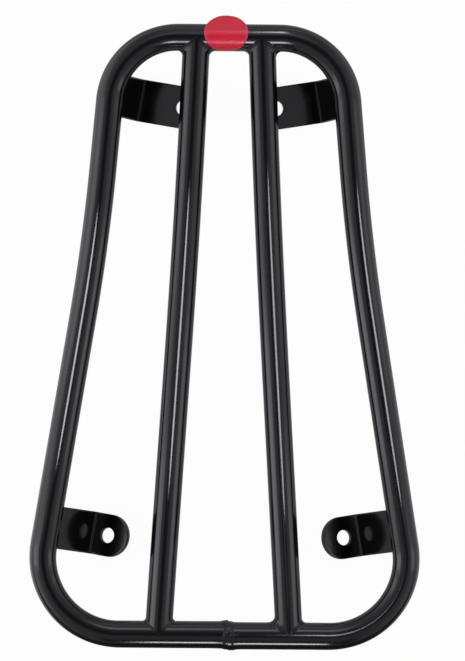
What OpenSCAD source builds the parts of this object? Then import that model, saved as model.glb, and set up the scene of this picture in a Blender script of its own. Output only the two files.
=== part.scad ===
// Rear luggage rack welded from bent steel tube, with four bent flat-steel mounting tabs.
// Units are millimetres. +Y is the front of the rack, +Z is up, the tab folds stand on Z = 0.

/* [Rack] */
// Length over the front and rear rails
rack_l = 366; // [345:1:400]
// Length of the straight part of the front rail
front_flat = 59.8; // [56.4:0.2:66]
// Outside diameter of every tube
tube_d = 16; // [15:0.5:17.5]
// Wall thickness of every tube
tube_wall = 1.5; // [1:0.1:2.5]
// Centre-line radius of the two rear corner bends
rear_bend_r = 45; // [41:0.5:48]
// Centre-line radius of the two front corner bends
front_bend_r = 40; // [39:0.5:44]
// Lean of the side rails towards the middle, in the rear straight length
rear_lean = 9.2; // [8.4:0.1:9.8]
// Lean of the side rails towards the middle, in the front straight length
front_lean = 5; // [4:0.1:6]
// Radius of the gentle curve that joins the two straight lengths
curve_r = 1220; // [1000:10:1400]
// Share of a side rail's straight lengths that lies behind the gentle curve
rear_share = 0.775; // [0.7:0.005:0.82]

/* [Inner tubes] */
// Distance between the inner tubes' axes at the rear rail
inner_rear = 76.6; // [64:0.2:84]
// Room on the straight front rail between an inner tube's bead and the front bend
inner_room = 0.9; // [0.8:0.1:4]

/* [Mounting tabs] */
// Width of the flat steel of the tabs
tab_w = 25; // [22:0.5:28]
// Thickness of the flat steel of the tabs
tab_t = 3; // [2:0.25:4]
// Inside radius of the fold in a tab
fold_r = 2; // [1.5:0.25:3]
// Depth from the tubes' axes to the lowest line of the folds
tab_drop = 33; // [30:0.5:38]
// Diameter of the bolt hole in each tab
hole_d = 9; // [6.5:0.5:10]
// Room between the rear bend and a rear tab, below 0 where the tab reaches over the bend
rear_tab_room = -1.6; // [-2:0.1:30]
// Distance from the side rail's axis to the fold of a rear tab
rear_fold = 26; // [22:0.5:30]
// Rise of a rear tab's foot towards the middle
rear_rise = 27; // [20:1:32]
// Distance from the fold of a rear tab to its hole, along the foot
rear_hole = 9.8; // [8.6:0.1:12]
// Length of a rear tab's foot, from the fold to the tip
rear_foot = 23.6; // [21.5:0.1:28]
// Place of a front tab on the front bend, as the angle from the bend's side
front_tab_a = 9.6; // [7:0.2:14]
// Distance from the side rail's axis to the fold of a front tab
front_fold = 16.8; // [15.6:0.2:18.5]
// Rise of a front tab's foot towards the middle
front_rise = 15; // [10:1:18]
// Distance from the fold of a front tab to its hole, along the foot
front_hole = 26.5; // [22:0.5:28]
// Length of a front tab's foot, from the fold to the tip
front_foot = 40.2; // [36:0.2:41]

/* [Weld beads] */
// Size of the fillet beads between the inner tubes and the rails
joint_bead = 2; // [1.2:0.1:2.4]
// Radius of the beads that hold the tabs
tab_bead = 2.2; // [1.6:0.1:2.6]
// Width of the bead round the closing joint of the rear rail
ring_w = 7; // [5:0.5:9]
// Height of that bead over the tube
ring_h = 0.9; // [0.5:0.1:1.4]
// Offset of that joint from the middle of the rear rail, to the right
ring_x = 2.5; // [-6:0.5:8]

/* [Round badge] */
// Diameter of the round foil badge, laid flat
badge_d = 26; // [20:0.5:26.5]
// Thickness of the badge
badge_t = 0.5; // [0.3:0.1:0.8]
// Angle over which the badge is wrapped down behind the top of the front rail
badge_back = 72; // [60:1:74]
// Angle over which it is wrapped in front of the top, before it stands off straight
badge_front = 40; // [30:1:50]
// Offset of the badge from the middle of the front rail, to the right
badge_x = -1.7; // [-2:0.1:2]

/* [Hidden] */
$fn = 96;
tube_r = tube_d / 2;
bore_r = tube_r - tube_wall;
rail_gap = rack_l - tube_d;
// Bends and folds are drawn a hair fuller than the straight lengths that run into them
bend_full = 0.04;
bend_lap = 0.1;
// Inner tubes are drawn a hair slimmer than the rails, so that their saddle ends are clean
inner_slim = 0.02;
inner_r = tube_r - inner_slim;

// The origin is midway between the tip of the badge and the back of the ring bead
badge_arc = tube_r * badge_back * PI / 180;
badge_turn = tube_r * badge_front * PI / 180;
badge_lip = badge_d - badge_arc - badge_turn;
badge_reach = (tube_r + badge_t / 2) * sin(badge_front) + badge_lip * cos(badge_front);
rear_y = -(rail_gap + badge_reach - tube_r - ring_h) / 2;
front_y = rear_y + rail_gap;
axis_z = tab_drop + bend_full;

// Centre line of the right-hand half, from the front bend to the rear bend
rear_dir = [cos(rear_lean), sin(rear_lean)];
front_dir = [cos(front_lean), sin(front_lean)];
bent_part = rear_bend_r * (1 + rear_dir[1]) + front_bend_r * (1 - front_dir[1])
    + curve_r * (rear_dir[1] - front_dir[1]);
rear_run = (rail_gap - bent_part) * rear_share / rear_dir[0];
front_run = (rail_gap - bent_part) * (1 - rear_share) / front_dir[0];
front_c = [front_flat / 2, front_y - front_bend_r];
p4 = front_c + front_bend_r * front_dir;
p3 = p4 + front_run * [front_dir[1], -front_dir[0]];
curve_c = p3 + curve_r * front_dir;
p2 = curve_c - curve_r * rear_dir;
p1 = p2 + rear_run * [rear_dir[1], -rear_dir[0]];
rear_c = p1 - rear_bend_r * rear_dir;
rear_half = rear_c[0];

// Middle of the weld line of each tab on the side rail's axis, with the rail's lean there
rear_tab_at = p1 + (tab_w / 2 + rear_tab_room) * [-rear_dir[1], rear_dir[0]];
inner_front = front_flat - 2 * (tube_r + joint_bead + inner_room);
front_tab_at = front_c + front_bend_r * [cos(front_tab_a), sin(front_tab_a)];
// Place on the tube, below its middle, that the walls of the tabs aim at
aim_a = 35;

// Reach of the fillet beads round the corner, and the number of steps in half the badge's outline
joint_ball = 0.5 * tube_r;
badge_steps = 20;

steel = [0.06, 0.06, 0.07];
bead_steel = [0.12, 0.12, 0.13];
foil = [0.78, 0.10, 0.16];

// Lean of the tab's wall, so that it runs up to the tube's lower inner side
function wall_a(fold) = atan2(tab_drop - tab_t - tube_r * sin(aim_a), fold - tube_r * cos(aim_a));
// Half the angle between a tab's wall and its foot, on the inside
function half_a(fold, rise) = (180 - wall_a(fold) - rise) / 2;
function split_a(fold, rise) = rise + half_a(fold, rise);
// Centre of the fold and its inner corner, from the rail's axis
function fold_c(fold, rise) = fold_k(fold, rise)
    + fold_r / sin(half_a(fold, rise)) * [cos(split_a(fold, rise)), sin(split_a(fold, rise))];
function fold_k(fold, rise) = [fold, fold_r + tab_t - tab_drop
    - fold_r / sin(half_a(fold, rise)) * sin(split_a(fold, rise))];
// Distance along a line from q, in direction u, to the tube's surface
function reach(q, u) = -(q * u) - sqrt((q * u) * (q * u) - q * q + tube_r * tube_r);

// Straight round bar between two points in the rack's plane, longer by lap at each end
module bar(a, b, r, lap = 0) {
    run = b - a;
    translate([a[0], a[1], axis_z])
        rotate([0, 0, atan2(run[1], run[0])])
            rotate([0, 90, 0])
                translate([0, 0, -lap])
                    cylinder(r = r, h = norm(run) + 2 * lap);
}

// Bent round bar about a centre in the rack's plane
module bend(c, big_r, from_a, turn, r) {
    translate([c[0], c[1], axis_z])
        rotate([0, 0, from_a])
            rotate_extrude(angle = turn)
                translate([big_r, 0])
                    circle(r = r + bend_full);
}

module rear_rail(r) {
    bar([-rear_half, rear_y], [rear_half, rear_y], r, bend_lap);
}

module front_rail(r) {
    bar([-front_c[0], front_y], [front_c[0], front_y], r, bend_lap);
}

module rear_side(r) {
    bar(p1, p2, r, bend_lap);
}

module front_side(r) {
    bar(p3, p4, r, bend_lap);
}

module rear_bend(r) {
    bend(rear_c, rear_bend_r, -90, 90 + rear_lean, r);
}

module front_bend(r) {
    bend(front_c, front_bend_r, front_lean, 90 - front_lean, r);
}

// The five lengths of one side, in order from the rear
module side_rail(r) {
    rear_bend(r);
    rear_side(r);
    bend(curve_c, curve_r, 180 + front_lean, rear_lean - front_lean, r);
    front_side(r);
    front_bend(r);
}

// Whole hoop as a solid bar
module hoop_bar(r) {
    rear_rail(r);
    front_rail(r);
    side_rail(r);
    mirror([1, 0, 0])
        side_rail(r);
}

module hoop() {
    color(steel)
        difference() {
            hoop_bar(tube_r);
            hoop_bar(bore_r);
        }
}

// Raised bead round the joint where the hoop's two ends meet
module hoop_weld() {
    seg_r = (ring_w * ring_w / 4 + ring_h * ring_h) / (2 * ring_h);
    color(bead_steel)
        translate([ring_x, rear_y, axis_z])
            rotate([0, 90, 0])
                rotate_extrude()
                    intersection() {
                        translate([tube_r + ring_h - seg_r, 0])
                            circle(r = seg_r);
                        translate([tube_r, -ring_w])
                            square([ring_w, 2 * ring_w]);
                    }
}

// Solid bar on an inner tube's axis, side = 1 for the right-hand tube
module inner_bar(side, r) {
    bar([side * inner_rear / 2, rear_y], [side * inner_front / 2, front_y], r);
}

module inner_tube(side) {
    color(steel)
        difference() {
            inner_bar(side, inner_r);
            inner_bar(side, bore_r - inner_slim);
            rear_rail(tube_r);
            front_rail(tube_r);
        }
}

// Fillet beads in the two corners between an inner tube and a rail
// way = 1 where the tube leaves the rail towards the front, -1 towards the rear
module joint_weld(side, way) {
    y = way > 0 ? rear_y : front_y;
    x = side * (way > 0 ? inner_rear : inner_front) / 2;
    tilt = atan2(rail_gap, side * (inner_front - inner_rear) / 2) - 90;
    big = tube_r + joint_bead;
    color(bead_steel)
        difference() {
            for (s = [-1, 1])
                intersection() {
                    inner_bar(side, big);
                    bar([x - 3 * big, y], [x + 3 * big, y], big);
                    translate([x + s * tube_r, y + way * tube_r, axis_z])
                        rotate([0, 0, tilt])
                            sphere(r = joint_ball);
                    translate([x, y, axis_z])
                        rotate([0, 0, tilt + way * s * 45 + (way > 0 ? 0 : 180)])
                            translate([-2 * big, -2 * big, -big])
                                cube([4 * big, 2 * big + (2 * tube_r + joint_bead) / sqrt(2), 2 * big]);
                }
            inner_bar(side, inner_r);
            if (way > 0)
                rear_rail(tube_r);
            else
                front_rail(tube_r);
        }
}

// Side view of a bent tab: wall from the tube down to the fold, foot rising from the fold
module tab_side(fold, rise, foot) {
    wa = wall_a(fold);
    m = fold_c(fold, rise);
    k = fold_k(fold, rise);
    leg = fold_r / tan(half_a(fold, rise));
    far = 4 * (fold_r + tab_t);
    translate(k)
        rotate(180 - wa)
            translate([leg - bend_lap, 0])
                square([norm(k) - leg, tab_t]);
    translate(k)
        rotate(rise)
            translate([leg - bend_lap, -tab_t])
                square([foot - leg + bend_lap, tab_t]);
    translate(m)
        intersection() {
            difference() {
                circle(r = fold_r + tab_t + bend_full);
                circle(r = fold_r - bend_full);
            }
            polygon([[0, 0], far * [-sin(wa), -cos(wa)], far * [0, -1], far * [sin(rise), -cos(rise)]]);
        }
}

// Puts a tab's side view at its place on the right-hand rail, then on the asked side
module at_rail(side, at, lean) {
    mirror([side > 0 ? 0 : 1, 0, 0])
        translate([at[0], at[1], axis_z])
            rotate([0, 0, 180 + lean])
                children();
}

// Finished tab, but with its wall running on into the rail
module tab_blank(side, at, lean, fold, rise, hole, foot) {
    tip = foot - tab_w / 2;
    k = fold_k(fold, rise);
    at_rail(side, at, lean)
        difference() {
            rotate([90, 0, 0])
                linear_extrude(height = tab_w, center = true)
                    tab_side(fold, rise, foot);
            translate([k[0], 0, k[1]])
                rotate([0, -rise, 0]) {
                    translate([hole, 0, -2 * tab_t])
                        cylinder(d = hole_d, h = 4 * tab_t);
                    translate([tip, 0, -2 * tab_t])
                        linear_extrude(height = 4 * tab_t)
                            difference() {
                                translate([0, -tab_w])
                                    square([tab_w, 2 * tab_w]);
                                circle(d = tab_w);
                            }
                }
        }
}

module rear_blank(side) {
    tab_blank(side, rear_tab_at, rear_lean, rear_fold, rear_rise, rear_hole, rear_foot);
}

module front_blank(side) {
    tab_blank(side, front_tab_at, front_tab_a, front_fold, front_rise, front_hole, front_foot);
}

// The lengths of the side rail that the tabs stand against
module rear_seat(side) {
    mirror([side > 0 ? 0 : 1, 0, 0]) {
        rear_side(tube_r);
        rear_bend(tube_r);
    }
}

module front_seat(side) {
    mirror([side > 0 ? 0 : 1, 0, 0]) {
        front_side(tube_r);
        front_bend(tube_r);
    }
}

module rear_tab(side) {
    color(steel)
        difference() {
            rear_blank(side);
            rear_seat(side);
        }
}

module front_tab(side) {
    color(steel)
        difference() {
            front_blank(side);
            front_seat(side);
        }
}

// Place of the weld bead: where the wall's outer face runs into the tube
function weld_at(fold, rise) =
    let (wa = wall_a(fold),
        u = [-cos(wa), sin(wa)],
        q = fold_k(fold, rise) + tab_t * [-sin(wa), -cos(wa)])
    q + reach(q, u) * u;

// Round bead along that line, before the tab and the tube are taken from it
module tab_bead_bar(side, at, lean, fold, rise) {
    j = weld_at(fold, rise);
    at_rail(side, at, lean)
        translate([j[0], 0, j[1]])
            rotate([90, 0, 0])
                cylinder(r = tab_bead, h = tab_w - 2 * tab_bead, center = true);
}

module rear_tab_weld(side) {
    color(bead_steel)
        difference() {
            tab_bead_bar(side, rear_tab_at, rear_lean, rear_fold, rear_rise);
            rear_seat(side);
            rear_blank(side);
        }
}

module front_tab_weld(side) {
    color(bead_steel)
        difference() {
            tab_bead_bar(side, front_tab_at, front_tab_a, front_fold, front_rise);
            front_seat(side);
            front_blank(side);
        }
}

// Place along the rack and half width of the badge at a distance s from its middle, laid flat
function badge_mid() = badge_arc - badge_d / 2;
function badge_s(i) = -badge_d / 2 * cos(180 * i / badge_steps);
function badge_y(s) =
    let (a = (s - badge_mid()) / tube_r * 180 / PI)
    a < badge_front ? (tube_r + badge_t / 2) * sin(a)
        : (tube_r + badge_t / 2) * sin(badge_front) + (s - badge_mid() - badge_turn) * cos(badge_front);
function badge_half(i) = badge_d / 2 * sin(180 * i / badge_steps);

// Thin round foil, wrapped over the front rail and standing off straight in front
module badge() {
    outer = tube_r + badge_t;
    color(foil)
        translate([badge_x, front_y, axis_z])
            intersection() {
                rotate([90, 0, 90])
                    linear_extrude(height = badge_d + 2, center = true) {
                        intersection() {
                            difference() {
                                circle(r = outer);
                                circle(r = tube_r);
                            }
                            polygon([[0, 0], 3 * outer * [-sin(badge_back), cos(badge_back)],
                                3 * outer * [0, 1], 3 * outer * [sin(badge_front), cos(badge_front)]]);
                        }
                        rotate(-badge_front)
                            translate([0, tube_r])
                                square([badge_lip, badge_t]);
                    }
                linear_extrude(height = 4 * outer, center = true)
                    polygon([
                        for (i = [0:badge_steps]) [badge_half(i), badge_y(badge_s(i))],
                        for (i = [badge_steps - 1:-1:1]) [-badge_half(i), badge_y(badge_s(i))]
                    ]);
            }
}

hoop();
hoop_weld();
inner_tube(-1);  // inner_tube_left
inner_tube(1);  // inner_tube_right
joint_weld(-1, 1);  // joint_weld_rear_left
joint_weld(1, 1);  // joint_weld_rear_right
joint_weld(-1, -1);  // joint_weld_front_left
joint_weld(1, -1);  // joint_weld_front_right
rear_tab(-1);  // tab_rear_left
rear_tab(1);  // tab_rear_right
front_tab(-1);  // tab_front_left
front_tab(1);  // tab_front_right
rear_tab_weld(-1);  // tab_weld_rear_left
rear_tab_weld(1);  // tab_weld_rear_right
front_tab_weld(-1);  // tab_weld_front_left
front_tab_weld(1);  // tab_weld_front_right
badge();
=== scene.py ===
"""Looks of a welded steel luggage rack: gloss black hoop, two inner tubes, four bent tabs, red foil badge.

All sizes are in millimetres until a mesh is written, where they become metres. +Y is the front of the
rack, +Z is up, and the folds of the tabs stand on Z = 0.
"""

import logging
import math
from dataclasses import dataclass, field
from enum import Enum

import bmesh
import bpy
import numpy as np
from mathutils import Matrix, Vector


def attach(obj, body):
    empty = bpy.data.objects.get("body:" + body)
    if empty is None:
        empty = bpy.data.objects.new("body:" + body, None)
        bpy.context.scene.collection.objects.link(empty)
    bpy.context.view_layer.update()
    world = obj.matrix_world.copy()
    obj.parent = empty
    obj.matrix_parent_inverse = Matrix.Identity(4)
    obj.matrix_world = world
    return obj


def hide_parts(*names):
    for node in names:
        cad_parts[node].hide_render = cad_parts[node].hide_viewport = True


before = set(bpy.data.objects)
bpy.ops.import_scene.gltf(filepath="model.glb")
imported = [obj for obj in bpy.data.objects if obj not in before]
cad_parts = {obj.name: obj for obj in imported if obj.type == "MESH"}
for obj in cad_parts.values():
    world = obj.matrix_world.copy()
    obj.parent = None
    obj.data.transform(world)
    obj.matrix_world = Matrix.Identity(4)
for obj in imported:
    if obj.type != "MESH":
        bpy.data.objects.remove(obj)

LOG = logging.getLogger("rack")
MM = 0.001
BODY = "root"
Array = np.ndarray
UP = np.array([0.0, 0.0, 1.0])
Socket = bpy.types.NodeSocket
Triple = tuple[float, float, float]
Stops = tuple[tuple[float, float], ...]


class Where(Enum):
    """Part of the rack, with its word in the pieces' names."""

    @property
    def word(self) -> str:
        """Its name in small letters."""
        return self.name.lower()


class Side(Where):
    """Side of the rack, with the sign of X there."""

    LEFT = -1
    RIGHT = 1


class End(Where):
    """End of the rack, with the way in which the inner tubes leave its rail."""

    REAR = 1
    FRONT = -1


def unit(v: Array) -> Array:
    """Vectors of length one along the last axis: each vector divided by its length."""
    return v / np.maximum(np.linalg.norm(v, axis=-1, keepdims=True), 1e-12)


def smooth(edge0: float, edge1: float, x: Array) -> Array:
    """Smooth step of x: 0 before edge0, 1 after edge1, and 3t^2 - 2t^3 at the share t between them."""
    t = np.clip((x - edge0) / (edge1 - edge0), 0, 1)
    return t * t * (3 - 2 * t)


def hump(x: Array, centre: float, width: float) -> Array:
    """Bell curve exp(-(x - centre)^2 / width^2)."""
    return np.exp(-(((x - centre) / width) ** 2))


def turn_hump(angle: Array, centre: float, width: float) -> Array:
    """Bell curve of the shortest angle to the centre, all in radians."""
    gap = np.angle(np.exp(1j * (angle - centre)))
    return np.exp(-((gap / width) ** 2))


def round_angles(count: int) -> Array:
    """Angles in radians that divide a full turn evenly, from 0."""
    return np.linspace(0, 2 * math.pi, count, endpoint=False)


def axes(angle: float) -> tuple[Array, Array]:
    """Unit vectors in the plane: one at an angle from +X, and one a quarter turn to its left."""
    return np.array([math.cos(angle), math.sin(angle)]), np.array([-math.sin(angle), math.cos(angle)])


def weld_noise(a: Array, b: Array, seed: float) -> Array:
    """Even, repeatable unevenness: a weighted sum of five sines of mixes of a and b, at rising frequencies.

    Args:
        a: First coordinate, in mm.
        b: Second coordinate, in mm.
        seed: Shifts the pattern.

    Returns:
        Values between about -1 and 1.
    """
    waves = [(0.9, 1.3, 0.0), (1.7, -0.8, 1.9), (2.3, 2.1, 4.1), (-1.1, 3.1, 0.7), (3.4, 1.6, 2.6)]
    total = np.zeros_like(a)
    for k, (p, q, r) in enumerate(waves):
        total = total + np.sin(p * a + q * b + r + seed * (k + 1.3)) / (1 + 0.35 * k)
    return total / 3.2


def add_object(name: str, data: bpy.types.ID) -> bpy.types.Object:
    """Adds an object with the given data to the scene, at the origin."""
    thing = bpy.data.objects.new(name, data)
    bpy.context.scene.collection.objects.link(thing)
    return thing


def write_mesh(name: str, verts: Array, faces: Array) -> bpy.types.Object:
    """Makes a smooth-shaded mesh object at the origin.

    Args:
        name: Name of the piece.
        verts: Points in mm, one a row.
        faces: Corner numbers, three or four a row.

    Returns:
        The new object, with its place in its mesh.
    """
    mesh = bpy.data.meshes.new(name)
    mesh.from_pydata((verts * MM).tolist(), [], faces.tolist())
    mesh.polygons.foreach_set("use_smooth", np.ones(len(mesh.polygons), dtype=bool))
    mesh.update()
    return add_object(name, mesh)


def grid_faces(rows: int, cols: int, wrap_rows: bool = False, wrap_cols: bool = False) -> Array:
    """Four-cornered faces of a grid of points that is stored row by row.

    Args:
        rows: Number of rows.
        cols: Number of points in a row.
        wrap_rows: Joins the last row to the first.
        wrap_cols: Joins the last column to the first.

    Returns:
        Corner numbers, four a row.
    """
    last = (np.arange(rows if wrap_rows else rows - 1), np.arange(cols if wrap_cols else cols - 1))
    i, j = np.meshgrid(*last, indexing="ij")
    i2, j2 = (i + 1) % rows, (j + 1) % cols
    return np.stack([i * cols + j, i2 * cols + j, i2 * cols + j2, i * cols + j2], -1).reshape(-1, 4)


def merge_close(piece: bpy.types.Object, distance: float) -> None:
    """Joins points that lie within distance (mm) of each other, and turns the faces to agree."""
    work = bmesh.new()
    work.from_mesh(piece.data)
    bmesh.ops.remove_doubles(work, verts=work.verts, dist=distance * MM)
    bmesh.ops.recalc_face_normals(work, faces=work.faces)
    work.to_mesh(piece.data)
    work.free()
    piece.data.update()


def turn_outwards(piece: bpy.types.Object, ways: Array) -> None:
    """Flips all faces of a piece if they point against the given ways, one for each face or one for all."""
    normals = np.zeros(len(piece.data.polygons) * 3)
    piece.data.polygons.foreach_get("normal", normals)
    if (normals.reshape(-1, 3) * ways).sum() < 0:
        piece.data.flip_normals()


def settle(piece: bpy.types.Object, material: bpy.types.Material, node: str) -> None:
    """Dresses a finished piece and puts it in the place of its CAD node.

    Args:
        piece: The piece, in its place.
        material: Its finish.
        node: CAD node that it stands for.
    """
    piece.data.materials.append(material)
    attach(piece, BODY)
    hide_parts(node)
    LOG.info("%s: %d points for %s", piece.name, len(piece.data.vertices), node)


def fill(tree: bpy.types.NodeTree, node: bpy.types.Node, inputs: dict[str | int, object]) -> None:
    """Fills inputs of a node: a socket is linked to its input, and a value is set on it.

    Args:
        tree: Node tree.
        node: The node.
        inputs: Sockets and values, by the input's name or number.
    """
    for key, value in inputs.items():
        if isinstance(value, Socket):
            tree.links.new(value, node.inputs[key])
        else:
            node.inputs[key].default_value = value


def add_node(
    tree: bpy.types.NodeTree, kind: str, inputs: dict[str | int, object] | None = None, mode: str = ""
) -> bpy.types.Node:
    """Adds a shader node and fills its inputs.

    Args:
        tree: Node tree.
        kind: Type of the node, without the word ShaderNode.
        inputs: Sockets and values, by the input's name or number.
        mode: Operation of a math node, or the data type of a mix node.

    Returns:
        The node.
    """
    node = tree.nodes.new(f"ShaderNode{kind}")
    if kind == "Mix":
        node.data_type = mode
    elif mode:
        node.operation = mode
    fill(tree, node, inputs or {})
    return node


def add_math(tree: bpy.types.NodeTree, operation: str, *values: Socket | float) -> Socket:
    """Adds a math node on sockets or numbers and gives its output."""
    return add_node(tree, "Math", dict(enumerate(values)), operation).outputs["Value"]


def new_material(name: str) -> tuple[bpy.types.Material, bpy.types.NodeTree, bpy.types.Node]:
    """Makes an empty node material with a Principled shader on its output.

    Args:
        name: Name of the material.

    Returns:
        The material, its node tree and its shader node.
    """
    material = bpy.data.materials.new(name)
    material.use_nodes = True
    tree = material.node_tree
    tree.nodes.clear()
    shader = add_node(tree, "BsdfPrincipled")
    add_node(tree, "OutputMaterial", {"Surface": shader.outputs["BSDF"]})
    return material, tree, shader


@dataclass(frozen=True)
class RackSizes:
    """Driving sizes of the rack in mm and degrees, the same as the CAD part's."""

    rack_l: float = 366.0
    front_flat: float = 59.8
    tube_r: float = 8.0
    rear_bend_r: float = 45.0
    front_bend_r: float = 40.0
    rear_lean: float = 9.2
    front_lean: float = 5.0
    curve_r: float = 1220.0
    rear_share: float = 0.775
    inner_rear: float = 76.6
    inner_room: float = 0.9
    joint_bead: float = 2.0
    tab_w: float = 25.0
    tab_t: float = 3.0
    fold_r: float = 2.0
    tab_drop: float = 33.0
    bend_full: float = 0.04
    ring_h: float = 0.9
    ring_x: float = 2.5
    badge_d: float = 26.0
    badge_t: float = 0.5
    badge_back: float = 72.0
    badge_front: float = 40.0
    badge_x: float = -1.7
    rear_tab_room: float = -1.6
    front_tab_angle: float = 9.6

    @property
    def gap(self) -> float:
        """Distance between the axes of the two cross rails."""
        return self.rack_l - 2 * self.tube_r

    @property
    def axis_z(self) -> float:
        """Height of the tubes' axes."""
        return self.tab_drop + self.bend_full

    @property
    def badge_arc(self) -> float:
        """Length of the badge that is wrapped behind the top of the rail."""
        return self.tube_r * math.radians(self.badge_back)

    @property
    def badge_turn(self) -> float:
        """Length of the badge that is wrapped in front of the top of the rail."""
        return self.tube_r * math.radians(self.badge_front)

    @property
    def rear_y(self) -> float:
        """Y of the rear rail's axis: the part is centred between the badge's tip and the ring bead."""
        lip = self.badge_d - self.badge_arc - self.badge_turn
        turn = math.radians(self.badge_front)
        tip = (self.tube_r + self.badge_t / 2) * math.sin(turn) + lip * math.cos(turn)
        return -(self.gap + tip - self.tube_r - self.ring_h) / 2

    @property
    def front_y(self) -> float:
        """Y of the front rail's axis."""
        return self.rear_y + self.gap

    @property
    def inner_front(self) -> float:
        """Distance between the inner tubes' axes at the front rail."""
        return self.front_flat - 2 * (self.tube_r + self.joint_bead + self.inner_room)


@dataclass
class HoopLine:
    """Centre line of the hoop: straight and curved lengths, counter-clockwise from the closing joint.

    Each length has its own constant turn per mm, and the heading is the running sum of turn times length. A
    length that turns more than bend_turn is a corner bend. The steps are the distances between the rings of
    points, and a corner bend's flattening grows from ease_out before its end to ease_in inside it.
    """

    size: RackSizes
    bend_turn: float = 0.005
    bend_step: float = 0.9
    run_step: float = 3.0
    joint_step: float = 0.5
    joint_reach: float = 12.0
    ease_out: float = 3.0
    ease_in: float = 9.0

    def __post_init__(self) -> None:
        """Works out the lengths, their turns and headings, and the corners between them."""
        size = self.size
        rear, front = math.radians(size.rear_lean), math.radians(size.front_lean)
        (out_rear, left_rear), (out_front, left_front) = axes(rear), axes(front)
        curve = size.curve_r * (math.sin(rear) - math.sin(front))
        bent = size.rear_bend_r * (1 + math.sin(rear)) + size.front_bend_r * (1 - math.sin(front)) + curve
        left = size.gap - bent
        rear_run = left * size.rear_share / math.cos(rear)
        front_run = left * (1 - size.rear_share) / math.cos(front)
        swing = size.curve_r * (math.cos(front) - math.cos(rear))
        self.front_c = np.array([size.front_flat / 2, size.front_y - size.front_bend_r])
        front_end = self.front_c + size.front_bend_r * out_front
        rear_end = front_end - front_run * left_front + np.array([swing, -curve])
        self.rear_tangent = rear_end - rear_run * left_rear
        half = self.rear_tangent[0] - size.rear_bend_r * out_rear[0]
        side = [
            (size.rear_bend_r * (math.pi / 2 + rear), 1 / size.rear_bend_r),
            (rear_run, 0.0),
            (size.curve_r * (rear - front), -1 / size.curve_r),
            (front_run, 0.0),
            (size.front_bend_r * (math.pi / 2 - front), 1 / size.front_bend_r),
        ]
        front_rail = (size.front_flat, 0.0)
        lengths = [(half - size.ring_x, 0.0), *side, front_rail, *side[::-1], (half + size.ring_x, 0.0)]
        self.length, self.turn = np.array(lengths).T
        self.start = np.concatenate([[0.0], np.cumsum(self.length)])
        self.side_start, self.side_end = self.start[1], self.start[1 + len(side)]
        self.total = float(self.start[-1])
        self.heading = np.concatenate([[0.0], np.cumsum(self.length * self.turn)])
        points = [np.array([size.ring_x, size.rear_y])]
        for heading, turn, length in zip(self.heading, self.turn, self.length):
            points.append(self._walk(points[-1], heading, turn, length))
        self.corner = np.array(points)

    @staticmethod
    def _walk(start: Array, heading: Array, turn: Array, run: Array) -> Array:
        """Ends of straight lines or arcs: an arc's end is its start plus the integral of its heading.

        Args:
            start: Start points.
            heading: Headings at the start.
            turn: Turn per mm, 0 for a straight line.
            run: Lengths.

        Returns:
            The end points.
        """
        bent = np.abs(turn) > 1e-9
        k = np.where(bent, turn, 1.0)
        dx = np.where(bent, (np.sin(heading + k * run) - np.sin(heading)) / k, run * np.cos(heading))
        dy = np.where(bent, (np.cos(heading) - np.cos(heading + k * run)) / k, run * np.sin(heading))
        return start + np.stack([dx, dy], -1)

    def at(self, s: Array) -> tuple[Array, Array]:
        """Points and headings at distances s along the line.

        Args:
            s: Distances from the closing joint.

        Returns:
            Points in the plane, and headings in radians.
        """
        k = np.clip(np.searchsorted(self.start, s, side="right") - 1, 0, len(self.length) - 1)
        run = s - self.start[k]
        end = self._walk(self.corner[k], self.heading[k], self.turn[k], run)
        return end, self.heading[k] + self.turn[k] * run

    def tightness(self, s: Array) -> Array:
        """How far into a corner bend a place is: 0 on the straights, 1 inside a bend, eased between them.

        Args:
            s: Distances from the closing joint.

        Returns:
            Values from 0 to 1.
        """
        total = np.zeros_like(s)
        for k in np.flatnonzero(self.turn > self.bend_turn):
            a, b = self.start[k], self.start[k + 1]
            begun = smooth(a - self.ease_out, a + self.ease_in, s)
            total += begun * (1 - smooth(b - self.ease_in, b + self.ease_out, s))
        return total

    def samples(self) -> Array:
        """Distances at which the hoop gets a ring of points, closer in the bends and by the closing joint.

        Returns:
            Distances from the closing joint, at least half a joint step apart.
        """
        steps = []
        for start, length, turn in zip(self.start, self.length, self.turn):
            count = max(2, round(length / (self.bend_step if turn > self.bend_turn else self.run_step)))
            steps.append(start + np.linspace(0, length, count, endpoint=False))
        near = np.linspace(0, self.joint_reach, round(self.joint_reach / self.joint_step) + 1)
        every = np.unique(np.round(np.concatenate([*steps, near, self.total - near[1:]]), 4))
        return every[np.concatenate([[True], np.diff(every) > self.joint_step / 2])]


@dataclass(frozen=True)
class Film:
    """Values of a paint film: colour, roughness, scale and height (m) of its orange peel, share of grit."""

    colour: Triple
    roughness: float
    peel_size: float
    peel_height: float
    grit: float = 0.0


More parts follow.
